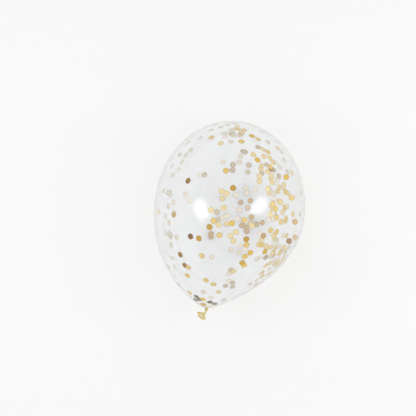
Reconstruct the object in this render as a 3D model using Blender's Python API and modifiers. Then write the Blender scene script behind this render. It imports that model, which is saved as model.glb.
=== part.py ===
"""A clear latex party balloon, inflated, knotted and lying on its side.

The origin is the middle of the small flat spot that the balloon rests on. +Z is up, +Y runs
from the knot towards the crown, and +X is to the right when seen from above with the crown up.
The balloon is worked out in its own frame first: its long axis is local Z, the crown is at +Z,
the knot at -Z, and local +Y is the side that will lie down.
"""

import math

import bpy
import numpy as np
from mathutils import Vector

# Driving dimensions of the inflated body, in metres.
BODY_WIDTH = 0.300
CROWN_RISE = 0.174
NECK_DROP = 0.204
NECK_DRIFT = 0.029

# How the lower half closes: the radius falls as (1 - share ** HANG) ** FULLNESS.
HANG = 2.16
FULLNESS = 0.78

# The pinched neck, and the knot: a strand of rolled latex wound round a squeezed core.
NECK_WIDTH = 0.0042
NECK_LENGTH = 0.0030
KNOT_CORE = 0.0009
KNOT_STRAND = 0.0025
KNOT_TILTS_DEG = ((24.0, 12.0, 0.0), (-33.0, -16.0, 57.0))

# The tail below the knot: a short stem that flares into a trumpet with a rolled lip.
TAIL_LENGTH = 0.0195
TAIL_STEM_WIDTH = 0.0040
TAIL_STEM_LENGTH = 0.0058
TAIL_WALL = 0.0006
FLARE_POWER = 1.7
LIP_WIDTH = 0.0204
LIP_BEAD = 0.0024
TAIL_BEND_LENGTH = 0.0080
TAIL_SWING_DEG = 43.0
TAIL_LIFT_DEG = 33.0

# How the balloon lies: the knot end dips a little, and a small flat spot stops it rolling.
DIP_DEG = 5.0
FLAT_SPOT_DEPTH = 0.0020

# Fineness of the turned surfaces.
TURN_STEPS = 64
CROWN_POINTS = 13
LOWER_POINTS = 22
TAIL_POINTS = 10
BEAD_POINTS = 8
KNOT_STEPS = 20
STRAND_STEPS = 8
SMOOTH_LIMIT_DEG = 35.0

# Small construction values.
MERGE = 0.00001
CUTTER_SIZE = 2 * BODY_WIDTH
PROFILE_SAMPLES = 4000

BODY_RADIUS = BODY_WIDTH / 2
NECK_RADIUS = NECK_WIDTH / 2
KNOT_HEIGHT = -(NECK_DROP + NECK_LENGTH)


def clear_scene():
    """Remove whatever the opened file holds."""
    for item in list(bpy.data.objects):
        bpy.data.objects.remove(item, do_unlink=True)


def new_collection(name, hidden=False):
    collection = bpy.data.collections.new(name)
    bpy.context.scene.collection.children.link(collection)
    collection.hide_render = hidden
    return collection


def latex_material():
    """Clear stretched latex: almost colourless, glossy and see-through."""
    material = bpy.data.materials.new("clear_latex")
    material.use_nodes = True
    shader = material.node_tree.nodes["Principled BSDF"]
    shader.inputs["Base Color"].default_value = (0.93, 0.92, 0.88, 1.0)
    shader.inputs["Roughness"].default_value = 0.12
    shader.inputs["Metallic"].default_value = 0.0
    shader.inputs["Transmission Weight"].default_value = 0.9
    shader.inputs["IOR"].default_value = 1.52
    return material


def lower_radius(share):
    """Radius of the lower half, where share is 0 at the widest section and 1 at the neck.

    The pear curve and the neck add like the short sides of a right triangle, so the film
    runs into the neck in one smooth hollow.
    """
    film = BODY_RADIUS * np.clip(1 - share**HANG, 0, 1) ** FULLNESS
    return np.hypot(film, NECK_RADIUS)


def body_profile():
    """(radius, height) pairs down the outside, from the crown to the middle of the knot."""
    crown_angle = np.linspace(0, math.pi / 2, CROWN_POINTS)
    crown = np.column_stack([BODY_RADIUS * np.sin(crown_angle), CROWN_RISE * np.cos(crown_angle)])
    share = np.sin(np.linspace(0, math.pi / 2, LOWER_POINTS))[1:]
    lower = np.column_stack([lower_radius(share), -NECK_DROP * share])
    inside_knot = [(NECK_RADIUS, KNOT_HEIGHT)]
    return np.vstack([crown, lower, inside_knot])


def flare_radius(depth):
    """Mid-wall radius of the tail at a depth below the knot: a stem, then a power curve."""
    stem = TAIL_STEM_WIDTH / 2
    bead_ring = (LIP_WIDTH - LIP_BEAD) / 2
    start = TAIL_STEM_LENGTH
    end = TAIL_LENGTH - LIP_BEAD / 2
    share = np.clip((depth - start) / (end - start), 0, 1)
    return stem + (bead_ring - stem) * share**FLARE_POWER


def tail_profile():
    """(radius, height) pairs below the knot's middle.

    They run down the outer wall, round the lip's bead and up the inner wall to the throat.
    """
    bead_depth = TAIL_LENGTH - LIP_BEAD / 2
    depth = np.linspace(0, bead_depth, TAIL_POINTS)
    radius = flare_radius(depth)
    slope = np.gradient(radius, depth)
    length = np.hypot(1, slope)
    half = TAIL_WALL / 2
    outer = np.column_stack([radius + half / length, -(depth - half * slope / length)])[1:-1]
    inner = np.column_stack([radius - half / length, -(depth + half * slope / length)])[:-1]
    hollow = inner[:, 0] > TAIL_STEM_WIDTH / 2
    inner = inner[hollow][::-1]

    # The wall covers this much of the bead to each side of where its middle arrives.
    arrival = math.pi / 2 + math.atan(slope[-1])
    covered = 2 * math.asin(TAIL_WALL / LIP_BEAD)
    turn = np.linspace(arrival - covered, arrival + covered - 2 * math.pi, BEAD_POINTS)
    bead_ring = (LIP_WIDTH - LIP_BEAD) / 2
    bead = np.column_stack(
        [bead_ring + LIP_BEAD / 2 * np.cos(turn), -bead_depth + LIP_BEAD / 2 * np.sin(turn)]
    )
    throat = [(0, inner[-1, 1] + TAIL_STEM_WIDTH / 2)]
    return np.vstack([outer, bead, inner, throat])


def turned(name, profile, collection):
    """A profile turned about local Z, as a real mesh."""
    mesh = bpy.data.meshes.new(name)
    points = [(float(radius), 0.0, float(height)) for radius, height in profile]
    edges = [(i, i + 1) for i in range(len(points) - 1)]
    mesh.from_pydata(points, edges, [])
    lathe = bpy.data.objects.new(name, mesh)
    collection.objects.link(lathe)
    screw = lathe.modifiers.new("turn", "SCREW")
    screw.steps = TURN_STEPS
    screw.render_steps = TURN_STEPS
    screw.use_merge_vertices = True
    screw.merge_threshold = MERGE
    bpy.context.view_layer.update()
    graph = bpy.context.evaluated_depsgraph_get()
    lathe.data = bpy.data.meshes.new_from_object(lathe.evaluated_get(graph))
    lathe.data.name = name
    lathe.modifiers.clear()
    bpy.data.meshes.remove(mesh)
    return lathe


def vertex_array(mesh):
    points = np.empty(len(mesh.vertices) * 3)
    mesh.vertices.foreach_get("co", points)
    return points.reshape(-1, 3)


def move_vertices(mesh, points):
    mesh.vertices.foreach_set("co", points.ravel())
    mesh.update()


def drift_neck(mesh):
    """Carry the lower half sideways as the square of its share of the neck drop."""
    points = vertex_array(mesh)
    share = np.clip(-points[:, 2] / NECK_DROP, 0, 1)
    points[:, 0] -= NECK_DRIFT * share**2
    move_vertices(mesh, points)


def tail_direction():
    """The way the open mouth faces: swung to -X and lifted off the side that lies down."""
    swing = math.radians(TAIL_SWING_DEG)
    lift = math.radians(TAIL_LIFT_DEG)
    return Vector(
        (-math.cos(lift) * math.sin(swing), -math.sin(lift), -math.cos(lift) * math.cos(swing))
    )


def bend_tail(mesh):
    """Carry each ring below the knot along an arc that turns into the tail's direction."""
    facing = tail_direction()
    full_turn = math.acos(-facing.z)
    aside = np.array(Vector((facing.x, facing.y, 0)).normalized())
    along = np.array((0.0, 0.0, -1.0))
    across = np.cross(along, aside)
    points = vertex_array(mesh)
    below = points[:, 2] < KNOT_HEIGHT
    knot = np.array((-NECK_DRIFT, 0, KNOT_HEIGHT))
    tail = points[below] - knot
    depth = -tail[:, 2]
    in_bend = np.clip(depth, None, TAIL_BEND_LENGTH)
    turn = full_turn * in_bend / TAIL_BEND_LENGTH
    arc = TAIL_BEND_LENGTH / full_turn
    beyond = depth - in_bend
    forward = arc * np.sin(turn) + beyond * np.cos(turn)
    sideways = arc * (1 - np.cos(turn)) + beyond * np.sin(turn)
    out = tail @ aside
    sideways += out * np.cos(turn)
    forward -= out * np.sin(turn)
    moved = np.outer(forward, along) + np.outer(sideways, aside) + np.outer(tail @ across, across)
    points[below] = knot + moved
    move_vertices(mesh, points)


def take_into(collection, name):
    """Name the object just made and move it from the active collection into this one."""
    made = bpy.context.object
    made.name = name
    for owner in list(made.users_collection):
        owner.objects.unlink(made)
    collection.objects.link(made)
    return made


def knot_strand(name, tilts_deg, collection):
    """One turn of the rolled neck, wound round the squeezed core at a tilt."""
    bpy.ops.mesh.primitive_torus_add(
        major_segments=KNOT_STEPS,
        minor_segments=STRAND_STEPS,
        major_radius=(KNOT_CORE + KNOT_STRAND) / 2,
        minor_radius=KNOT_STRAND / 2,
    )
    strand = take_into(collection, name)
    strand.rotation_euler = [math.radians(tilt) for tilt in tilts_deg]
    return strand


def combine(base, piece, operation, name):
    """Join a helper to the base, or cut it away, and keep the helper as a wire guide."""
    piece.hide_render = True
    piece.display_type = "WIRE"
    modifier = base.modifiers.new(name, "BOOLEAN")
    modifier.operation = operation
    modifier.object = piece
    modifier.solver = "EXACT"


def lowest_point():
    """(along, height) of the lowest point of the dipped body, seen from its widest section."""
    dip = math.radians(DIP_DEG)
    share = np.linspace(0, 1, PROFILE_SAMPLES)
    radius = lower_radius(share)
    height = -radius * math.cos(dip) - NECK_DROP * share * math.sin(dip)
    along = radius * math.sin(dip) - NECK_DROP * share * math.cos(dip)
    lowest = int(height.argmin())
    return float(along[lowest]), float(height[lowest])


def build():
    clear_scene()
    model = new_collection("confetti_balloon")
    joins = new_collection("joined shapes", hidden=True)
    cutters = new_collection("cutters", hidden=True)

    tail = tail_profile() + (0, KNOT_HEIGHT)
    balloon = turned("balloon", np.vstack([body_profile(), tail]), model)
    drift_neck(balloon.data)
    bend_tail(balloon.data)
    along, height = lowest_point()
    balloon.rotation_euler = (math.radians(DIP_DEG - 90), 0, 0)
    balloon.location = (0, -along, -(height + FLAT_SPOT_DEPTH))

    for i, tilts in enumerate(KNOT_TILTS_DEG):
        strand = knot_strand(f"knot_strand_{i}", tilts, joins)
        strand.parent = balloon
        strand.location = (-NECK_DRIFT, 0, KNOT_HEIGHT)
        combine(balloon, strand, "UNION", f"join {strand.name}")

    bpy.ops.mesh.primitive_cube_add(size=CUTTER_SIZE, location=(0, 0, -CUTTER_SIZE / 2))
    below_ground = take_into(cutters, "below_ground")
    combine(balloon, below_ground, "DIFFERENCE", "flat spot")

    balloon.data.materials.append(latex_material())
    balloon.data.shade_smooth()
    balloon.data.set_sharp_from_angle(angle=math.radians(SMOOTH_LIMIT_DEG))


build()
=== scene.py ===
# %% [markdown]
# # A confetti balloon lying on a pale table
#
# A party balloon of clear latex holds some hundreds of small foil discs. Static electricity makes
# them cling to the inside of the film. The real object is one moulded piece of latex: a film
# stretched until it is almost invisible, a neck pinched by an overhand knot, and a short tail that
# was never stretched, so it is thicker and shows the amber colour that latex has by nature.
#
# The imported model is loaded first. It fixes where the balloon lies and how large it is, and
# everything made below fits it.

# %% Load the frame
import math

import bmesh
import bpy
import numpy as np
from mathutils import Matrix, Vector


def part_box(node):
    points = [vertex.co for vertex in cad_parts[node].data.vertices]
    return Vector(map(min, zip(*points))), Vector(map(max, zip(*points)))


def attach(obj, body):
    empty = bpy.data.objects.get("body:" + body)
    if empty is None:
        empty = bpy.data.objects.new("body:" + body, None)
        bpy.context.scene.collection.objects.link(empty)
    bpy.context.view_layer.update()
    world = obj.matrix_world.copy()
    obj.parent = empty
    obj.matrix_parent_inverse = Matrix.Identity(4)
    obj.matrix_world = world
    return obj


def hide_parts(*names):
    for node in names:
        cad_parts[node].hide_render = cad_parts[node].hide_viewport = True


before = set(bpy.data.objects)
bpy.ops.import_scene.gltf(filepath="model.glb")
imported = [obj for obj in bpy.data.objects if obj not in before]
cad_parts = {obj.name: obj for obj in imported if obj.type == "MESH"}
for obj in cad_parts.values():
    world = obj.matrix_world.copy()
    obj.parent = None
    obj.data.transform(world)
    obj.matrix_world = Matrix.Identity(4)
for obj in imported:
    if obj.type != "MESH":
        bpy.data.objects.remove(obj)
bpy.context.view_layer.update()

low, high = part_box("balloon")
print("balloon from", [round(x, 4) for x in low], "to", [round(x, 4) for x in high])

# %% [markdown]
# ## The balloon's own measures
#
# The balloon is worked out in its own frame: its long axis is Z with the crown at the top, and its
# side away from the table is -Y. Above the widest section it is half an ellipsoid. Below, the
# radius falls as (1 - share ** HANG) ** FULLNESS, where share runs from 0 at the widest section to
# 1 at the neck. One such formula gives the whole pear, which a list of points never does as
# smoothly. The width comes from the frame, and the rise, the drop and the drift are shares of it.

# %% Measures
INSET = 0.0001
BODY_RADIUS = (high.x - low.x) / 2 - INSET
CROWN_RISE = 1.158 * BODY_RADIUS
NECK_DROP = 1.360 * BODY_RADIUS
NECK_DRIFT = 0.1933 * BODY_RADIUS
HANG = 2.16
FULLNESS = 0.78
NECK_RADIUS = 0.0021
NECK_TO_KNOT = 0.0024
KNOT_DEPTH = NECK_DROP + NECK_TO_KNOT


def neck_share(z):
    """How far down the lower half a height is: 0 at the widest section, 1 at the neck."""
    return np.clip(-z / NECK_DROP, 0, 1)


def body_radius(z):
    """Radius at a height: a circle's arc stretched to the crown's rise above, the pear below."""
    above = BODY_RADIUS * np.sqrt(np.clip(1 - (np.clip(z, 0, None) / CROWN_RISE) ** 2, 0, 1))
    pear = BODY_RADIUS * np.clip(1 - neck_share(z) ** HANG, 0, 1) ** FULLNESS
    return np.where(z > 0, above, np.hypot(pear, NECK_RADIUS))


def body_drift(z):
    """Sideways place of the axis at a height: it drifts to -X as the square of the share."""
    return -NECK_DRIFT * neck_share(z) ** 2


print("half width", round(BODY_RADIUS, 4), "rise", round(CROWN_RISE, 4), "drop", round(NECK_DROP, 4))

# %% [markdown]
# The balloon lies on its side with the knot end dipping five degrees. The lowest point of the
# dipped pear gives the height of its middle above the table, less the depth of the flat spot.

# %% How it lies
DIP = math.radians(5.0)
FLAT_SPOT_DEPTH = 0.0020
SAMPLES_DOWN = 4000

shares = np.linspace(0, 1, SAMPLES_DOWN)
radii = body_radius(-NECK_DROP * shares)
heights = -radii * math.cos(DIP) - NECK_DROP * shares * math.sin(DIP)
lowest = int(heights.argmin())
along = radii[lowest] * math.sin(DIP) - NECK_DROP * shares[lowest] * math.cos(DIP)
CENTRE = np.array([0.0, -along, -(heights[lowest] + FLAT_SPOT_DEPTH)])
TO_CROWN = np.array([0.0, math.cos(DIP), math.sin(DIP)])
TO_VIEWER = np.array([0.0, -math.sin(DIP), math.cos(DIP)])
TO_RIGHT = np.array([1.0, 0.0, 0.0])


def to_table(points):
    """Carry points from the balloon's own frame to where it lies."""
    x, y, z = np.moveaxis(points, -1, 0)
    return CENTRE + x[..., None] * TO_RIGHT - y[..., None] * TO_VIEWER + z[..., None] * TO_CROWN


print("middle of the widest section", CENTRE.round(4))

# %% [markdown]
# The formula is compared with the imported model, point by point. Both ends are left out, because
# the surface turns almost square to the axis there. The flat spot is left out too.

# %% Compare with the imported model
COMPARED_SHARE = 0.9
COMPARED_HEIGHT = 0.001

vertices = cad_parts["balloon"].data.vertices
cad = np.empty((len(vertices), 3), np.float32)
vertices.foreach_get("co", cad.ravel())
own = (cad - CENTRE) @ np.column_stack([TO_RIGHT, -TO_VIEWER, TO_CROWN])
height = own[:, 2]
compared = (height > -COMPARED_SHARE * NECK_DROP) & (height < COMPARED_SHARE * CROWN_RISE)
compared &= cad[:, 2] > COMPARED_HEIGHT
off = np.hypot(own[:, 0] - body_drift(height), own[:, 1]) - body_radius(height)
print("the formula is within", round(abs(off[compared]).max() * 1000, 2), "mm of the packed model")

# %% [markdown]
# ## The camera
#
# The photo looks square at the balloon's side, so the camera looks down on it along the normal of
# its long axis. Its place follows from three things read in the photo: the middle of the widest
# section, half its width, and the lean of the crown. A long lens keeps the pear from bulging.

# %% Camera
PHOTO_PX = 416
MIDDLE_PX = (229.67, 207.88)
HALF_WIDTH_PX = 75.11
LEAN = math.radians(4.88)
CAMERA_DISTANCE = 2.4
SENSOR_MM = 36.0

metres_per_px = BODY_RADIUS / HALF_WIDTH_PX
right = math.cos(LEAN) * TO_RIGHT + math.sin(LEAN) * TO_CROWN
up = -math.sin(LEAN) * TO_RIGHT + math.cos(LEAN) * TO_CROWN
aside_px = PHOTO_PX / 2 - MIDDLE_PX[0]
above_px = MIDDLE_PX[1] - PHOTO_PX / 2
LOOK_AT = CENTRE + (aside_px * right + above_px * up) * metres_per_px

camera_data = bpy.data.cameras.new("photo_view")
camera_data.sensor_width = SENSOR_MM
camera_data.lens = SENSOR_MM * CAMERA_DISTANCE / (PHOTO_PX * metres_per_px)
camera = bpy.data.objects.new("photo_view", camera_data)
bpy.context.scene.collection.objects.link(camera)
turn = Matrix(np.column_stack([right, up, TO_VIEWER]).tolist()).to_4x4()
camera.matrix_world = Matrix.Translation(LOOK_AT + CAMERA_DISTANCE * TO_VIEWER) @ turn
bpy.context.scene.camera = camera
print("lens", round(camera_data.lens, 1), "mm,", round(metres_per_px * 1000, 3), "mm a pixel")

# %% [markdown]
# ## Surfaces from grids
#
# Every shape of latex here is a surface of two parameters: rows run along it and columns run round
# it. A Screw modifier could turn a profile as well, but the pleats, waves and bends would each need
# a modifier more, and here they are terms of a formula. One helper turns such a grid of points into
# a closed mesh. The columns join up, and each end of the rows closes with a fan round a pole.


# %% Grid to mesh
def closed_grid(name, rows, first_pole, last_pole):
    """A mesh from rows[row, column] points, wrapped round and closed by a pole at each end."""
    count, around = rows.shape[:2]
    points = np.vstack([rows.reshape(-1, 3), first_pole, last_pole])
    row, column = np.meshgrid(np.arange(count - 1), np.arange(around), indexing="ij")
    after = (column + 1) % around
    quads = np.stack(
        [row * around + column, (row + 1) * around + column,
         (row + 1) * around + after, row * around + after], axis=-1
    ).reshape(-1, 4)
    step = np.arange(around)
    ahead = (step + 1) % around
    pole = count * around
    start = np.column_stack([np.full(around, pole), step, ahead])
    last = (count - 1) * around
    end = np.column_stack([np.full(around, pole + 1), last + ahead, last + step])
    mesh = bpy.data.meshes.new(name)
    mesh.from_pydata(points.tolist(), [], quads.tolist() + start.tolist() + end.tolist())
    mesh.update()
    mesh.shade_smooth()
    return mesh


def unit(vectors):
    """The same directions, each with a length of 1."""
    return vectors / np.linalg.norm(vectors, axis=-1, keepdims=True)


def grid_normals(rows):
    """Unit normals of a wrapped grid, from the differences of its neighbours."""
    down = np.gradient(rows, axis=0)
    wrapped = np.concatenate([rows[:, -1:], rows, rows[:, :1]], axis=1)
    return unit(np.cross(down, wrapped[:, 2:] - wrapped[:, :-2]))


def give_values(mesh, name, values):
    """Store one number a vertex, which a material can read."""
    attribute = mesh.attributes.new(name, "FLOAT", "POINT")
    attribute.data.foreach_set("value", np.asarray(values, np.float32).ravel())


# %% Mesh to piece
def enclosed_cm3(mesh):
    """The volume inside a closed mesh. It comes out negative where the faces look inward."""
    shape = bmesh.new()
    shape.from_mesh(mesh)
    volume = shape.calc_volume(signed=True) * 1e6
    shape.free()
    return round(volume, 3)


def add_piece(name, mesh, material):
    """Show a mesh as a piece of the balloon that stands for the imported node."""
    mesh.materials.append(material)
    piece = bpy.data.objects.new(name, mesh)
    bpy.context.scene.collection.objects.link(piece)
    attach(piece, "root")
    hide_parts("balloon")
    print(name, len(mesh.polygons), "faces round", enclosed_cm3(mesh), "cm3")


# %% [markdown]
# ## Latex
#
# Stretched latex is clear, and the light only dims a little where it crosses it. Slack latex is
# thick and amber. Two plain materials would meet in a hard line at the neck, so the colour follows
# a value stored on the mesh instead, slack. It is 0 on the film, rises where the film gathers at
# the neck, is 1 on the knot and the rolled lip, and less on the thin stem between them. On the
# inside of the mouth it is 0 too, as painted light: the paleness there stands for light falling in.
# A faint mottle breaks up the colour, because latex is dipped and never quite even.


# %% Nodes of a material
def new_material(name):
    """A fresh material, with its nodes, its links and its surface shader."""
    material = bpy.data.materials.new(name)
    material.use_nodes = True
    tree = material.node_tree
    return material, tree.nodes, tree.links, tree.nodes["Principled BSDF"]


def grey(level):
    """A colour whose red, green and blue are alike."""
    return (level, level, level)


def ramp(nodes, links, factor, stops):
    """A colour ramp driven by a socket, with (place, colour) stops."""
    node = nodes.new("ShaderNodeValToRGB")
    elements = node.color_ramp.elements
    while len(elements) < len(stops):
        elements.new(1.0)
    for element, (place, colour) in zip(elements, stops):
        element.position = place
        element.color = (*colour, 1.0)
    links.new(factor, node.inputs["Fac"])
    return node.outputs["Color"]


def noise(nodes, links, scale):
    """Noise in the piece's own coordinates, in metres, with features 1 / scale metres wide."""
    place = nodes.new("ShaderNodeTexCoord")
    node = nodes.new("ShaderNodeTexNoise")
    node.inputs["Scale"].default_value = scale
    links.new(place.outputs["Object"], node.inputs["Vector"])
    return node.outputs["Fac"]


def attribute(nodes, name):
    """The value stored on the mesh under this name."""
    node = nodes.new("ShaderNodeAttribute")
    node.attribute_name = name
    return node.outputs["Fac"]


MIX_FACTOR = 0
MIX_COLOURS = (6, 7)
MIXED_COLOUR = 2


def multiplied(nodes, links, *colours):
    """The product of two colours. A Mix node has sockets of one name, so they go by number."""
    node = nodes.new("ShaderNodeMix")
    node.data_type = "RGBA"
    node.blend_type = "MULTIPLY"
    node.inputs[MIX_FACTOR].default_value = 1.0
    for place, colour in zip(MIX_COLOURS, colours):
        links.new(colour, node.inputs[place])
    return node.outputs[MIXED_COLOUR]


# %% Latex material
CLEAR = (0.975, 0.98, 0.985)
PALE = (0.95, 0.91, 0.80)
STRAW = (0.92, 0.82, 0.50)
AMBER = (0.86, 0.64, 0.06)
MOTTLE_SCALE = 60.0
MOTTLE_STOPS = [(0.3, grey(0.985)), (0.7, grey(1.0))]
LATEX_IOR = 1.52


def latex(name, clearness, roughness, stops):
    """Latex whose colour follows the stored slackness, with a faint mottle over it."""
    material, nodes, links, shader = new_material(name)
    colour = ramp(nodes, links, attribute(nodes, "slack"), stops)
    mottle = ramp(nodes, links, noise(nodes, links, MOTTLE_SCALE), MOTTLE_STOPS)
    links.new(multiplied(nodes, links, colour, mottle), shader.inputs["Base Color"])
    shader.inputs["Roughness"].default_value = roughness
    shader.inputs["IOR"].default_value = LATEX_IOR
    shader.inputs["Transmission Weight"].default_value = clearness
    print(name, "lets through", clearness, "of the light")
    return material


film_latex = latex("clear_latex", 1.0, 0.02, [(0.0, CLEAR), (0.6, STRAW), (1.0, AMBER)])
tail_latex = latex("amber_latex", 0.35, 0.2, [(0.0, PALE), (0.4, STRAW), (1.0, AMBER)])

# %% [markdown]
# ## The film
#
# The film is a thin closed shell: an outer wall, and an inner wall a quarter of a millimetre
# inside it. A single sheet would render as the skin of a solid lump of rubber, because the light
# has to leave the latex again before it crosses the air inside. The outer wall is the pear with
# fine pleats that gather towards the knot, and where it meets the table it is pressed flat.

# %% Film shape
FILM_THICKNESS = 0.00025
AROUND = 224
CROWN_ROWS = 44
LOWER_ROWS = 84
NECK_ROWS = 4
PLEATS = 26
PLEAT_REACH = 0.16
PLEAT_DEPTH = 0.10
PLEAT_SWAY = 0.9
PLEAT_UNEVENNESS = 0.3
PRESS_SOFTNESS = 0.0004
KNOT_TOP = 0.0016


def pressed(points, gap):
    """Lift what would sink below the table, by a soft maximum of the height and the gap."""
    height = points[..., 2]
    lifted = gap + PRESS_SOFTNESS * np.logaddexp(0, (height - gap) / PRESS_SOFTNESS)
    return np.concatenate([points[..., :2], lifted[..., None]], axis=-1)


def near_neck(z, reach):
    """0 on the body, rising as a square to 1 at the neck over the last reach of the way down."""
    return np.clip((neck_share(z) - (1 - reach)) / reach, 0, 1) ** 2


def film_rows():
    """The outer wall: the body's radius at each height, times the pleats near the neck.

    A pleat is a cosine round the axis. Three times round, the pleats sway closer together and
    further apart, and five times round they get deeper and shallower.
    """
    crown = CROWN_RISE * np.cos(np.linspace(0, math.pi / 2, CROWN_ROWS + 1))[1:]
    lower = -NECK_DROP * np.sin(np.linspace(0, math.pi / 2, LOWER_ROWS + 1))[1:]
    neck = -np.linspace(NECK_DROP, KNOT_DEPTH - KNOT_TOP, NECK_ROWS + 1)[1:]
    z = np.concatenate([crown, lower, neck])[:, None]
    angle = np.linspace(0, 2 * math.pi, AROUND, endpoint=False)[None, :]
    depth = 1 - PLEAT_UNEVENNESS + PLEAT_UNEVENNESS * np.cos(5 * angle)
    pleat = np.cos(PLEATS * angle + PLEAT_SWAY * np.sin(3 * angle)) * depth
    radius = body_radius(z) * (1 + PLEAT_DEPTH * near_neck(z, PLEAT_REACH) * pleat)
    x = body_drift(z) + radius * np.cos(angle)
    y = radius * np.sin(angle)
    return to_table(np.stack([x, y, np.broadcast_to(z, x.shape)], axis=-1)), z[:, 0]


# %% Film mesh
SLACK_AT_NECK = 0.3
SLACK_REACH = 0.08

outer, row_heights = film_rows()
outer = pressed(outer, INSET)
inner = outer - FILM_THICKNESS * grid_normals(outer)
crown_tip = to_table(np.array([0.0, 0.0, CROWN_RISE]))
crown_inside = crown_tip - FILM_THICKNESS * TO_CROWN
film_mesh = closed_grid("film", np.concatenate([outer, inner[::-1]]), crown_tip, crown_inside)

slack_rows = SLACK_AT_NECK * near_neck(row_heights, SLACK_REACH)
slack = np.repeat(np.concatenate([slack_rows, slack_rows[::-1]]), AROUND)
give_values(film_mesh, "slack", np.concatenate([slack, [0, 0]]))
add_piece("film", film_mesh, film_latex)

# %% [markdown]
# ## The knot
#
# The neck is rolled thin and tied in an overhand knot. Two rings on top of each other would pass
# for it from afar, but a real strand goes over and under itself. Joined end to end, an overhand
# knot is the trefoil, the simplest knot there is, so its strand follows the trefoil's formula. It
# is cut open at its top and its bottom, where its two ends run on into the neck and the tail.

# %% Knot strand
KNOT_RING = 0.0019
KNOT_WEAVE = 0.0004
KNOT_RISE = 0.0013
KNOT_ENDS = (math.pi / 6, 11 * math.pi / 6)


def trefoil(turn):
    """The ring is gone round twice while the strand weaves in and out three times."""
    ring = KNOT_RING + KNOT_WEAVE * np.cos(3 * turn)
    height = KNOT_RISE * np.sin(3 * turn)
    return np.column_stack([ring * np.cos(2 * turn), ring * np.sin(2 * turn), height])


def tube_rows(path, radius, sides, hint):
    """Rings round a path. Each is square to it, and none is twisted against the one before.

    The first point of the first ring is square to the path and to the hint, which may be any
    direction but the path's own.
    """
    along = unit(np.gradient(path, axis=0))
    side = np.empty_like(path)
    ahead = np.cross(along[0], hint)
    for i, way in enumerate(along):
        ahead = unit(ahead - (ahead @ way) * way)
        side[i] = ahead
    other = np.cross(side, along)
    angle = np.linspace(0, 2 * math.pi, sides, endpoint=False)[None, :, None]
    ring = np.cos(angle) * side[:, None] + np.sin(angle) * other[:, None]
    return path[:, None] + radius[:, None, None] * ring


# %% Knot mesh
KNOT_POINTS = 110
KNOT_SIDES = 18
KNOT_LEAN = math.radians(14)
KNOT_HINT = (0.3, 0.9, 0.2)
STRAND_RADIUS = 0.0012
RIPPLE_DEPTH = 0.06
RIPPLE_ANGLE = 23

loop = trefoil(np.linspace(*KNOT_ENDS, KNOT_POINTS))
knot_turn = np.array(Matrix.Rotation(KNOT_LEAN, 3, "Y"))
knot_place = np.array([-NECK_DRIFT, 0.0, -KNOT_DEPTH])
knot_path = to_table(loop @ knot_turn.T + knot_place)
ripple = 1 + RIPPLE_DEPTH * np.sin(np.linspace(0, RIPPLE_ANGLE, KNOT_POINTS))
knot_rows = tube_rows(knot_path, STRAND_RADIUS * ripple, KNOT_SIDES, KNOT_HINT)
knot_mesh = closed_grid("knot", knot_rows, knot_path[0], knot_path[-1])
give_values(knot_mesh, "slack", np.ones(len(knot_mesh.vertices)))
add_piece("knot", knot_mesh, tail_latex)

# %% [markdown]
# ## The tail
#
# Below the knot the latex was never stretched. A short stem flares like a trumpet to the mouth
# that the balloon was blown up by, and the mouth's rim is rolled into a bead. A sheet with a
# Solidify modifier would have a wall but no bead, so one profile runs down the outside, round the
# bead and up the inside, and is swept round the tail's own axis. The rim waves a little and the
# stem is pleated. Last, the tail is bent to the way it droops.

# %% Tail profile
TAIL_LENGTH = 0.0195
STEM_RADIUS = 0.0020
STEM_LENGTH = 0.0058
TAIL_WALL = 0.0006
FLARE_POWER = 1.7
BEAD_RADIUS = 0.0012
BEAD_RING = 0.0090
BEAD_DEPTH = TAIL_LENGTH - BEAD_RADIUS
BEAD_OPENING = 0.5
WALL_POINTS = 40
BEAD_POINTS = 22


def flare(depth):
    """Radius of the wall's middle: the stem's, then growing as a power of the way to the rim."""
    share = np.clip((depth - STEM_LENGTH) / (BEAD_DEPTH - STEM_LENGTH), 0, 1)
    return STEM_RADIUS + (BEAD_RING - STEM_RADIUS) * share ** FLARE_POWER


def tail_profile():
    """(radius, depth) down the outer wall, round the bead's circle and up the inner wall."""
    depth = np.linspace(0, BEAD_DEPTH, WALL_POINTS)
    slope = np.gradient(flare(depth), depth)
    back = unit(np.column_stack([-slope, -np.ones(WALL_POINTS)]))
    out = unit(np.column_stack([np.ones(WALL_POINTS), -slope]))
    middle = np.column_stack([flare(depth), depth])
    inner = (middle - TAIL_WALL / 2 * out)[:-1]
    inner = inner[inner[:, 0] > STEM_RADIUS]
    turn = np.linspace(BEAD_OPENING, 2 * math.pi - BEAD_OPENING, BEAD_POINTS)[:, None]
    bead = (BEAD_RING, BEAD_DEPTH) + BEAD_RADIUS * (np.cos(turn) * back[-1] + np.sin(turn) * out[-1])
    return np.vstack([(middle + TAIL_WALL / 2 * out)[:-1], bead, inner[::-1]])


profile = tail_profile()
print("the tail's profile has", len(profile), "points, out to", profile[:, 0].max().round(5))

# %% Tail bend
BEND_LENGTH = 0.0080
SWING = math.radians(43)
LIFT = math.radians(33)

droop = np.array(
    [-math.cos(LIFT) * math.sin(SWING), -math.sin(LIFT), -math.cos(LIFT) * math.cos(SWING)]
)
down = np.array([0.0, 0.0, -1.0])
aside = droop * (1, 1, 0) / math.hypot(droop[0], droop[1])
across = np.cross(down, aside)
full_turn = math.acos(-droop[2])
arc = BEND_LENGTH / full_turn


def bent(points):
    """Carry points below the knot along an arc that turns into the droop, then straight on."""
    depth = -points[..., 2]
    turn = full_turn * np.clip(depth, 0, BEND_LENGTH) / BEND_LENGTH
    beyond = np.clip(depth - BEND_LENGTH, 0, None)
    out = points @ aside
    forward = arc * np.sin(turn) + beyond * np.cos(turn) - out * np.sin(turn)
    sideways = arc * (1 - np.cos(turn)) + beyond * np.sin(turn) + out * np.cos(turn)
    over = points @ across
    return forward[..., None] * down + sideways[..., None] * aside + over[..., None] * across


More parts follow.
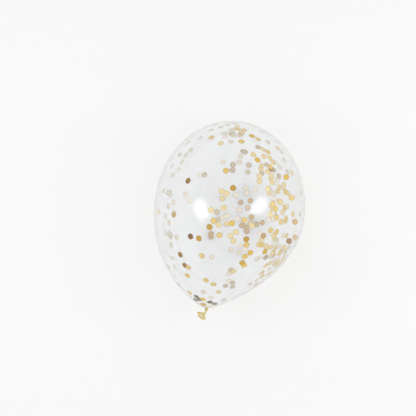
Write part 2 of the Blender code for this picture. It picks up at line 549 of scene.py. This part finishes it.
print("the tail turns by", round(math.degrees(full_turn), 1), "degrees")

# %% Tail mesh
TAIL_AROUND = 96
RIM_POWER = 3
RIM_WAVE = 0.0005
RIM_PINCH = 0.08
CORNER = math.radians(190)
CORNER_WIDTH = 0.30
CORNER_PULL = 0.24
STEM_PLEATS = 9
STEM_PLEAT_DEPTH = 0.06
STEM_PINCH = 0.3
PINCH_REACH = 0.0035
STEM_SLACK = (0.5, 0.3)


def tail_rows():
    """The profile swept round, pleated along the stem and waved at the rim, then bent.

    The rim is pinched all round, and pulled out at one corner by a bell curve of the angle.
    """
    radius, depth = profile[:, :1], profile[:, 1:]
    angle = np.linspace(0, 2 * math.pi, TAIL_AROUND, endpoint=False)[None, :]
    rim = (depth / TAIL_LENGTH) ** RIM_POWER
    radius = radius * (1 - STEM_PINCH * np.exp(-((depth / PINCH_REACH) ** 2)))
    radius = radius * (1 + STEM_PLEAT_DEPTH * np.cos(STEM_PLEATS * angle) * (1 - rim))
    from_corner = np.abs((angle - CORNER + math.pi) % (2 * math.pi) - math.pi)
    corner = np.exp(-((from_corner / CORNER_WIDTH) ** 2))
    radius = radius * (1 + rim * (CORNER_PULL * corner - RIM_PINCH))
    depth = depth - RIM_WAVE * rim * (1 + np.sin(2 * angle))
    rows = np.stack([radius * np.cos(angle), radius * np.sin(angle), -depth], axis=-1)
    return to_table(bent(rows) + knot_place)


throat = np.array([0.0, 0.0, -(profile[-1, 1] - STEM_RADIUS)])
throat_place = to_table(bent(throat) + knot_place)
tail_mesh = closed_grid("tail", tail_rows(), to_table(knot_place), throat_place)
stem_slack = np.linspace(*STEM_SLACK, WALL_POINTS - 1)
bead_slack = np.ones(BEAD_POINTS)
# Painted light: the inside of the mouth gets the palest colour, though its latex is as slack as the
# outside.
inside_painted_pale = np.zeros(len(profile) - len(stem_slack) - len(bead_slack))
slack = np.repeat(np.concatenate([stem_slack, bead_slack, inside_painted_pale]), TAIL_AROUND)
give_values(tail_mesh, "slack", np.concatenate([slack, [1, 1]]))
add_piece("tail", tail_mesh, tail_latex)

# %% [markdown]
# ## Where the confetti clings
#
# Every disc lies against the inside of the film. A particle system could scatter them, but it
# can't put one disc where the photo shows it. The discs that can be told apart were read off the
# photo, so each has a place in the picture, and two walls behind that place: the near one and the
# far one. From a pixel a line of sight goes into the balloon, and the disc lies where the line
# meets the wall. The line spreads as it gets further from the camera, so its meeting place is
# found by stepping: take a depth, work out the place there, and take the wall's depth at that
# place.
#
# At the outline the film runs along the line of sight, so the picture doesn't tell how deep a disc
# is. Each disc there gets a least depth at random. Without it, all of them would lie in one plane
# and show as a straight row from the side.

# %% From the photo to the film
SIGHT_STEPS = 8
NECK_LIMIT = 0.97
CROWN_LIMIT = 0.985
SLOPE_STEP = 0.0002


def inner_radius(z):
    """The inside of the film at a height, less the depth of its pleats."""
    return body_radius(z) * (1 - PLEAT_DEPTH * near_neck(z, PLEAT_REACH)) - FILM_THICKNESS


def on_film(places_px, near, least_depth):
    """Points of the inner wall under the places.

    They lie on the near wall where near is true, and on the far one elsewhere. The least depth is
    a share of the radius for each place, and matters only at the outline.
    """
    from_middle = places_px - PHOTO_PX / 2
    spread = (from_middle[:, :1] * right - from_middle[:, 1:] * up) * metres_per_px
    flat = np.column_stack([spread @ TO_RIGHT, spread @ TO_CROWN])
    start = np.array([(LOOK_AT - CENTRE) @ TO_RIGHT, (LOOK_AT - CENTRE) @ TO_CROWN])
    depth = np.zeros(len(flat))
    for _ in range(SIGHT_STEPS):
        x, z = (start + flat * (1 - depth / CAMERA_DISTANCE)[:, None]).T
        z = np.clip(z, -NECK_LIMIT * NECK_DROP, CROWN_LIMIT * CROWN_RISE)
        out = x - body_drift(z)
        reach = np.sqrt(np.clip(inner_radius(z) ** 2 - out ** 2, 0, None))
        reach = np.maximum(reach, least_depth * inner_radius(z))
        depth = np.where(near, reach, -reach)
    angle = np.arctan2(-depth, out)
    x = body_drift(z) + inner_radius(z) * np.cos(angle)
    return np.column_stack([x, inner_radius(z) * np.sin(angle), z])


def film_normals(points):
    """Outward unit normals of the film: the way its distance to the axis outgrows its radius."""
    out = points[:, :2] - np.column_stack([body_drift(points[:, 2]), np.zeros(len(points))])
    out = unit(out)
    z = np.clip(points[:, 2], None, CROWN_LIMIT * CROWN_RISE)
    above, below = z + SLOPE_STEP, z - SLOPE_STEP
    slope = (inner_radius(above) - inner_radius(below)) / (2 * SLOPE_STEP)
    drift = (body_drift(above) - body_drift(below)) / (2 * SLOPE_STEP)
    return unit(np.column_stack([out, -slope - drift * out[:, 0]]))


# %% [markdown]
# The discs read off the photo are listed by colour. The foil is gold on both sides, and how it
# looks depends on the light that it meets, so the gold is painted from deep ochre to pale: painted
# light and shade on one gold. Bronze and champagne discs are mixed in, and the darkest bronze is
# painted shade on discs seen edge on at the neck. The faint ones cling to the far wall. Each list
# has a foil, a tone from 0, dark, to 1, pale, and the share of its discs that cling to the near wall.

# %% Discs read off the photo
OCHRE_PX = "209.5,227 246.3,239.3 233,188 198.8,238.5"
AMBER_PX = """
257.5,160 286.5,177 232,223.2 265,251.8 250.3,252.8 244.8,256.6 242.2,262.7 252,135.8 189.4,293
203,299.6 203,306.2
"""
GOLD_PX = """
241.4,141.3 272.9,204 211.3,137.3 226,170.6 244,130 237.4,128.8 258,139 268,152 270.5,166.6
285.3,191.7 292,197.7 275.6,209 285,207.8 270.6,230.3 276.7,232 276.7,217.5 244.2,220 281,221.9
285.5,220.4 261.7,245 246.6,245 244.2,265.5 213.6,220.8 219.3,235.2 201.8,255.8 205.9,280.3
213.4,284.4 188.3,267.3 262,272.8 262.3,276.5 270,273 280,252 283,258.5 187.3,275.6
"""
PALE_GOLD_PX = """
278.6,201 280.6,201.8 272.3,206 258.7,244.6 233.4,271.4 273.8,235.4 237.7,126 241.4,133 263,149
253.5,154.5 264,156.4 270,158 261,169 267.5,171.6 259.5,176 272,176 272,182 267.9,188.7 280,187
284,184.7 278,148 292,173 221.7,191.4 226.7,193.4 222.4,198.4 211,210 223.7,207.8 282.6,212.5
293,214 251.8,225.5 226.5,224 218.7,224.8 236,232 230.5,236 233.4,241 274.9,238.4 261.7,239.5
270.5,247.5 272.7,253 286.2,249 269.7,263.3 278.5,263 278,266.6 275.6,270.3 218.6,292.3 155.3,212
158.9,211.6 220.7,143.3
"""
BRONZE_PX = "173.7,214.5 295.4,221.9 296,237.6 263.5,235.8 271,169"
DULL_BRONZE_PX = """
250.3,200.8 240.7,202.4 246.3,227.4 247,231.4 251.6,217 262.4,222.6 241.7,225.3 211,236.5
256.5,224.2 211,233.6
"""
DEEP_BRONZE_PX = "187.9,180.7 180.2,254.7 289.5,241.3 184.6,265.5"
UMBER_PX = "190.5,236.5"
# Painted shade: these discs at the neck are seen edge on, and are given the darkest bronze tone.
EDGE_ON_SHADE_BRONZE_PX = "196.3,297 199.3,299.6 195.2,300.3 209.9,302.4 214.7,304.5"
TAUPE_PX = """
233,164.6 232.4,170 248.8,165 248,172 266.5,164.6 274,170 262,173 258,147 243,151 245,152 279,176
247.8,208 250.3,222.6 217,212 218.3,219.7 204.5,174.6 265.7,257.4 231,270 232.7,283 232.7,287
225.5,286 181.2,141.8 178.4,284.6 168.5,267
"""
FAINT_PX = """
228,124.7 235,122.6 231,141.5 185.5,194.4 223,162 240.7,156 239.4,162 245.8,188 246.8,193
255.8,189.4 236,195 273.9,194 239.4,209.8 283.3,235.8 268,141.8 262.5,131.4 300,213.8 225.7,216.4
237.8,218.6 240.4,245.7 230.9,249.7 256.5,284.2 238.9,252.7 244.8,249.7 257.3,259.3 272,257
279.6,246.4 289.5,247.2 298.3,244.2 287.7,255.6 250.3,284.2 229,274 211.7,257.2 169.2,233.6
171,235.4 203.3,292.3 211,298 252.5,288.6 223.8,300.3 176.5,237.3 229.4,281 233,133.4 232.7,135
"""
FAINTEST_PX = """
214,125 183.5,136.8 187.9,142 200,137.5 190.5,150 179.8,154.5 185.5,155 181.8,162 179,169.6
171.8,166 199.6,175 163.8,190.4 189.9,200.4 276.6,163 280,167 170.7,245 174.3,267.3 229.3,302.2
211,130 222.7,132.4 226.7,132.8 225,136.5
"""


def places(text):
    """Pixel places from a list of x,y pairs."""
    return np.array([[float(v) for v in pair.split(",")] for pair in text.split()])


FOILS = ("gold", "bronze", "champagne")
GOLD, BRONZE, CHAMPAGNE = range(len(FOILS))
READ_OFF = [
    (OCHRE_PX, GOLD, 0.0, 1.0),
    (AMBER_PX, GOLD, 0.25, 1.0),
    (GOLD_PX, GOLD, 0.5, 1.0),
    (PALE_GOLD_PX, GOLD, 0.9, 0.7),
    (BRONZE_PX, BRONZE, 0.75, 1.0),
    (DULL_BRONZE_PX, BRONZE, 1.0, 0.0),
    (DEEP_BRONZE_PX, BRONZE, 0.35, 1.0),
    (UMBER_PX, BRONZE, 0.2, 1.0),
    (EDGE_ON_SHADE_BRONZE_PX, BRONZE, 0.0, 1.0),
    (TAUPE_PX, CHAMPAGNE, 0.35, 0.3),
    (FAINT_PX, CHAMPAGNE, 0.78, 0.0),
    (FAINTEST_PX, CHAMPAGNE, 1.0, 0.0),
]
for text, foil, tone, near_share in READ_OFF:
    print(len(places(text)), FOILS[foil], "discs at tone", tone, "with", near_share, "of them near")

# %% [markdown]
# Between the discs that can be told apart lie drifts of smaller and fainter ones. Each drift is a
# cloud of seeded random places round a middle, with its own spread and its own mix of foils. The
# champagne ones of a drift look faint, because they cling to the far wall. No disc shows through
# the two bright glints of the photo, so the drifts leave those places free.

# %% Drifts of more discs
SEED = 20
DRIFTS = [
    ("crown fringe", (232, 130), (24, 5), 15, (0.35, 0.0, 0.65)),
    ("right band", (279, 203), (9, 30), 38, (0.35, 0.0, 0.65)),
    ("middle", (252, 224), (12, 9), 8, (0.2, 0.0, 0.8)),
    ("lower right", (277, 255), (9, 9), 24, (0.6, 0.0, 0.4)),
    ("lower right rim", (280, 264), (5, 4), 9, (0.7, 0.0, 0.3)),
    ("lower rim", (256, 285), (5, 3), 5, (0.5, 0.0, 0.5)),
    ("left fringe", (169, 212), (5, 18), 13, (0.05, 0.0, 0.95)),
]
DRIFT_TONES = (0.8, 1.0)
NEAR_GOLD_SHARE = 0.6
GLINTS_PX = "199,205 259,202"
GLINT_SIZE_PX = (12, 16)

rng = np.random.default_rng(SEED)


def drifted():
    """Places, foils, tones and walls of all the drifts."""
    parts = []
    for name, middle, spread, count, mix in DRIFTS:
        at = rng.normal(middle, spread, (count, 2))
        from_glints = (at[:, None] - places(GLINTS_PX)) / GLINT_SIZE_PX
        at = at[np.linalg.norm(from_glints, axis=2).min(axis=1) > 1]
        foil = rng.choice(len(FOILS), len(at), p=mix)
        tone = rng.uniform(*DRIFT_TONES, len(at))
        near = (rng.random(len(at)) < NEAR_GOLD_SHARE) & (foil == GOLD)
        parts.append(np.column_stack([at, foil, tone, near]))
        print(len(at), "discs drift over the", name)
    return np.vstack(parts)


# %% [markdown]
# The discs are put down in order, each over the ones before. The lists run from the golds to the
# faintest, and the drifts are fainter still. So that the strong discs show, the far wall is filled
# from the drifts to the first list and the near wall from the first list to the drifts.

# %% All the discs in order
TONE_SPREAD = 0.05


def read_off():
    """Places, foils, tones and walls of the discs read off the photo."""
    parts = []
    for text, foil, tone, near_share in READ_OFF:
        at = places(text)
        near = rng.random(len(at)) < near_share
        shade = np.clip(rng.normal(tone, TONE_SPREAD, len(at)), 0, 1)
        parts.append(np.column_stack([at, np.full(len(at), foil), shade, near]))
    return np.vstack(parts)


seen = read_off()
all_discs = np.vstack([seen, drifted()])
near = all_discs[:, -1] == 1
discs = np.vstack([all_discs[~near][::-1], all_discs[near]])
disc_px, foil_of, tone_of, is_near = discs[:, :2], discs[:, 2], discs[:, 3], discs[:, 4] == 1
print(len(discs), "discs, of which", len(seen), "were read off the photo")

# %% [markdown]
# ## Laying the discs
#
# Static holds a disc nearly flat to the film. Where discs overlap, each lies one layer over those
# that were put down before it. A simulation could drop and stack them, but it would also move them
# off their places.

# %% Layers
DISC_RADIUS = 0.0059
OUTLINE_DEPTH = 0.25


def layers_of(middles):
    """For each disc, one layer more than the highest earlier disc that it overlaps."""
    layer = np.zeros(len(middles), int)
    for i in range(1, len(middles)):
        close = np.linalg.norm(middles[:i] - middles[i], axis=1) < 2 * DISC_RADIUS
        layer[i] = layer[:i][close].max(initial=-1) + 1
    return layer


least_depth = rng.uniform(0, OUTLINE_DEPTH, len(discs))
wall = on_film(disc_px, is_near, least_depth)
normal = film_normals(wall)
layer = layers_of(wall)
print("discs lie up to", layer.max() + 1, "deep")

# %% [markdown]
# Each disc leans a degree or so at random, so that the foil catches the light unevenly. Towards the
# neck the film gathers into pleats, which prop the discs up a little more. A few near the right
# outline cling by one edge and stand off the film, so they look round in the photo.

# %% Turn the discs
DISC_SIDES = 16
TILT = math.radians(0.7)
PROP = 0.18
PROP_POWER = 6
STANDING_PX = "286.5,177 292,197.7 295.4,221.9 296,237.6 289.5,241.3"
STANDING_PROP = 4.0
SAME_PLACE_PX = 0.1

lean = rng.normal(0, TILT, (len(discs), 3))
from_standing = disc_px[:, None] - places(STANDING_PX)
stands = np.linalg.norm(from_standing, axis=2).min(axis=1) < SAME_PLACE_PX
sight = np.outer(np.sign(normal[:, 1]), (0, 1, 0))
prop = np.where(stands, STANDING_PROP, PROP * neck_share(wall[:, 2]) ** PROP_POWER)
face = unit(normal + lean + prop[:, None] * sight)
first = unit(np.cross(face, rng.normal(0, 1, (len(discs), 3))))
second = np.cross(face, first)
angle = np.linspace(0, 2 * math.pi, DISC_SIDES, endpoint=False)[None, :, None]
edge = DISC_RADIUS * (np.cos(angle) * first[:, None] + np.sin(angle) * second[:, None])
print(stands.sum(), "discs stand off the film")

# %% [markdown]
# Each disc is then pushed in, a little at a time, until its whole edge is clear of the film, and of
# the table where the film is pressed flat.

# %% Push the discs in
WALL_GAP = 0.00012
LAYER_STEP = 0.0006
TABLE_GAP = 0.0012
PUSHES = 40
PUSH_SHARE = 0.8


def too_close(points):
    """How far points are past the inside of the film, or nearer to the table than the gap."""
    x, y, z = np.moveaxis(points, -1, 0)
    out = np.hypot(x - body_drift(z), y)
    past_film = out + WALL_GAP - inner_radius(z)
    past_table = TABLE_GAP - to_table(points)[..., 2]
    return np.maximum(past_film, past_table).max(axis=1).clip(0)


centres = wall - (WALL_GAP + LAYER_STEP * layer)[:, None] * normal
outward = np.where(stands[:, None], sight, normal)
for _ in range(PUSHES):
    centres -= (too_close(centres[:, None] + edge) * PUSH_SHARE)[:, None] * outward
left_over = too_close(centres[:, None] + edge).max() * 1000
print("after pushing in, a disc is too close by", round(left_over, 3), "mm at most")

# %% [markdown]
# ## Foil
#
# Each disc is a fan of small triangles round a hub on both faces, with a thin edge between. The
# discs of one foil are one mesh, because they are hundreds of loose bits of one material. Two
# values ride on them: tone, one for the whole disc, and edge, which is 0 at the hub and 1 at the
# rim, where the colour is painted a little darker: painted shade at the rim.

# %% Foil discs
DISC_THICKNESS = 0.00012


def disc_faces(count):
    """Corner numbers of the faces of one disc after another."""
    sides = DISC_SIDES
    step = np.arange(sides)
    ahead = (step + 1) % sides
    top = np.column_stack([np.full(sides, 2 * sides), step, ahead])
    bottom = np.column_stack([np.full(sides, 2 * sides + 1), sides + ahead, sides + step])
    rim = np.column_stack([step, sides + step, sides + ahead, ahead])
    size = 2 * sides + 2
    faces = []
    for i in range(count):
        for kind in (top, bottom, rim):
            faces += (kind + i * size).tolist()
    return faces


def foil_mesh(name, chosen):
    """One mesh of the chosen discs, with their tones and edges.

    A disc is two rings and two hubs, half its thickness to either side of its middle.
    """
    half = DISC_THICKNESS / 2 * face[chosen]
    middle = centres[chosen]
    ring = middle[:, None] + edge[chosen]
    points = np.concatenate(
        [ring + half[:, None], ring - half[:, None], (middle + half)[:, None], (middle - half)[:, None]],
        axis=1,
    )
    mesh = bpy.data.meshes.new(name)
    mesh.from_pydata(to_table(points).reshape(-1, 3).tolist(), [], disc_faces(len(middle)))
    mesh.update()
    mesh.shade_flat()
    size = points.shape[1]
    give_values(mesh, "tone", np.repeat(tone_of[chosen], size))
    give_values(mesh, "edge", np.tile(np.arange(size) < 2 * DISC_SIDES, len(middle)))
    return mesh


# %% [markdown]
# The foil is printed plastic with a metal coat, so it shines softly and unevenly. A plain metal
# would mirror the studio and lose its colour. Here the colour follows the disc's tone, the sheen
# is the colour that it reflects when it is seen almost edge on, and fine dimples bend the light.

# %% Foil material
# Painted shade: from a little past half its radius, each disc's colour darkens towards its rim.
RIM_SHADE_STOPS = [(0.55, grey(1.0)), (1.0, grey(0.80))]
FOIL_METALLIC = 0.85
FOIL_ROUGHNESS = 0.5
DIMPLE_SCALE = 420.0
DIMPLE_STRENGTH = 0.12
DIMPLE_DEPTH = 0.0002
# The gold runs from painted shade at 0 to painted light at 1, on one gold foil.
GOLD_STOPS = [
    (0.0, (0.62, 0.36, 0.0)),
    (0.25, (0.84, 0.57, 0.05)),
    (0.5, (0.84, 0.65, 0.26)),
    (1.0, (0.88, 0.75, 0.45)),
]
# The bronze's darkest stop is painted shade, for discs seen edge on.
BRONZE_STOPS = [
    (0.0, (0.17, 0.11, 0.0)),
    (0.2, (0.34, 0.14, 0.0)),
    (0.35, (0.42, 0.21, 0.0)),
    (0.75, (0.66, 0.43, 0.15)),
    (1.0, (0.62, 0.46, 0.30)),
]
CHAMPAGNE_STOPS = [
    (0.0, (0.50, 0.40, 0.30)),
    (0.5, (0.74, 0.64, 0.50)),
    (1.0, (0.95, 0.91, 0.82)),
]


def printed_foil(name, stops, sheen):
    """Printed metal foil: the disc's own tone with painted shade darker at its edge, and a slightly
    uneven shine.
    """
    material, nodes, links, shader = new_material(name)
    colour = ramp(nodes, links, attribute(nodes, "tone"), stops)
    # Painted shade at the rim of each disc, multiplied into its colour.
    painted_rim_shade = ramp(nodes, links, attribute(nodes, "edge"), RIM_SHADE_STOPS)
    links.new(multiplied(nodes, links, colour, painted_rim_shade), shader.inputs["Base Color"])
    shader.inputs["Specular Tint"].default_value = (*sheen, 1.0)
    shader.inputs["Metallic"].default_value = FOIL_METALLIC
    shader.inputs["Roughness"].default_value = FOIL_ROUGHNESS
    bump = nodes.new("ShaderNodeBump")
    bump.inputs["Strength"].default_value = DIMPLE_STRENGTH
    bump.inputs["Distance"].default_value = DIMPLE_DEPTH
    links.new(noise(nodes, links, DIMPLE_SCALE), bump.inputs["Height"])
    links.new(bump.outputs["Normal"], shader.inputs["Normal"])
    return material


for number, stops, sheen in (
    (GOLD, GOLD_STOPS, (0.90, 0.78, 0.50)),
    (BRONZE, BRONZE_STOPS, (0.12, 0.08, 0.03)),
    (CHAMPAGNE, CHAMPAGNE_STOPS, (0.80, 0.72, 0.60)),
):
    name = "confetti_" + FOILS[number]
    slot = FOILS[number] + "_foil"
    add_piece(name, foil_mesh(name, foil_of == number), printed_foil(slot, stops, sheen))

# %% [markdown]
# ## The table, the light and the studio
#
# The table is plain and pale, and large enough that no view sees its end close by. Most of the
# light comes from the whole bright studio round it, as in the photo, where there is hardly a
# shadow. Two softboxes stand to the left and the right of the camera and give the two upright
# glints. Each is brightest in its middle and fades to its edge, so the glints have soft edges.
#
# Light that crosses the film reaches the table sharp, and the renderer's own softening of it is
# turned off. With it on, the clear film would throw the dark shadow of frosted glass.

# %% Table
HALF_TABLE = 6.0
TABLE_GRAIN = 400.0
TABLE_STOPS = [(0.3, grey(0.885)), (0.7, grey(0.895))]
TABLE_ROUGHNESS = 0.7

corners = [(HALF_TABLE * x, HALF_TABLE * y, 0.0) for x, y in ((-1, -1), (1, -1), (1, 1), (-1, 1))]
floor_mesh = bpy.data.meshes.new("table")
floor_mesh.from_pydata(corners, [], [(0, 1, 2, 3)])
floor_material, nodes, links, shader = new_material("pale_table")
shade = ramp(nodes, links, noise(nodes, links, TABLE_GRAIN), TABLE_STOPS)
links.new(shade, shader.inputs["Base Color"])
shader.inputs["Roughness"].default_value = TABLE_ROUGHNESS
floor_mesh.materials.append(floor_material)
floor = bpy.data.objects.new("table", floor_mesh)
bpy.context.scene.collection.objects.link(floor)
print("the table is", 2 * HALF_TABLE, "m wide")


# %% Softboxes
def fade_to_edge(data):
    """Dim a lamp from its middle to its edge, by the distance of the spot from the middle."""
    data.use_nodes = True
    nodes, links = data.node_tree.nodes, data.node_tree.links
    spot = nodes.new("ShaderNodeNewGeometry").outputs["Parametric"]
    distance = nodes.new("ShaderNodeVectorMath")
    distance.operation = "DISTANCE"
    distance.inputs[1].default_value = (0.5, 0.5, 0.0)
    links.new(spot, distance.inputs[0])
    fade = nodes.new("ShaderNodeMapRange")
    fade.interpolation_type = "SMOOTHSTEP"
    fade.inputs["From Min"].default_value = 0.5
    fade.inputs["From Max"].default_value = 0.0
    links.new(distance.outputs["Value"], fade.inputs["Value"])
    links.new(fade.outputs["Result"], nodes["Emission"].inputs["Strength"])


def softbox(name, aside_deg, width, height, watts, above_deg=3, distance=1.2):
    """A softbox that the balloon sees at two angles from the line to the camera."""
    a, b = math.radians(aside_deg), math.radians(above_deg)
    way = math.cos(b) * (math.cos(a) * TO_VIEWER + math.sin(a) * right) + math.sin(b) * up
    data = bpy.data.lights.new(name, "AREA")
    data.shape = "RECTANGLE"
    data.size = width
    data.size_y = height
    data.energy = watts
    fade_to_edge(data)
    lamp = bpy.data.objects.new(name, data)
    bpy.context.scene.collection.objects.link(lamp)
    across = unit(np.cross(up, way))
    turn = Matrix(np.column_stack([across, np.cross(way, across), way]).tolist()).to_4x4()
    lamp.matrix_world = Matrix.Translation(CENTRE + distance * way) @ turn
    print(name, "of", watts, "W at", (CENTRE + distance * way).round(2))


softbox("softbox_left", aside_deg=-44, width=0.66, height=0.44, watts=3.2)
softbox("softbox_right", aside_deg=43.5, width=0.68, height=0.48, watts=4.1)

# %% Studio
STUDIO_BRIGHTNESS = 1.0

world = bpy.data.worlds.new("studio")
world.use_nodes = True
background = world.node_tree.nodes["Background"]
background.inputs["Color"].default_value = (*grey(1.0), 1.0)
background.inputs["Strength"].default_value = STUDIO_BRIGHTNESS
bpy.context.scene.world = world
bpy.context.scene.view_settings.view_transform = "Standard"
bpy.context.scene.cycles.blur_glossy = 0.0
print("the studio's brightness is", STUDIO_BRIGHTNESS)
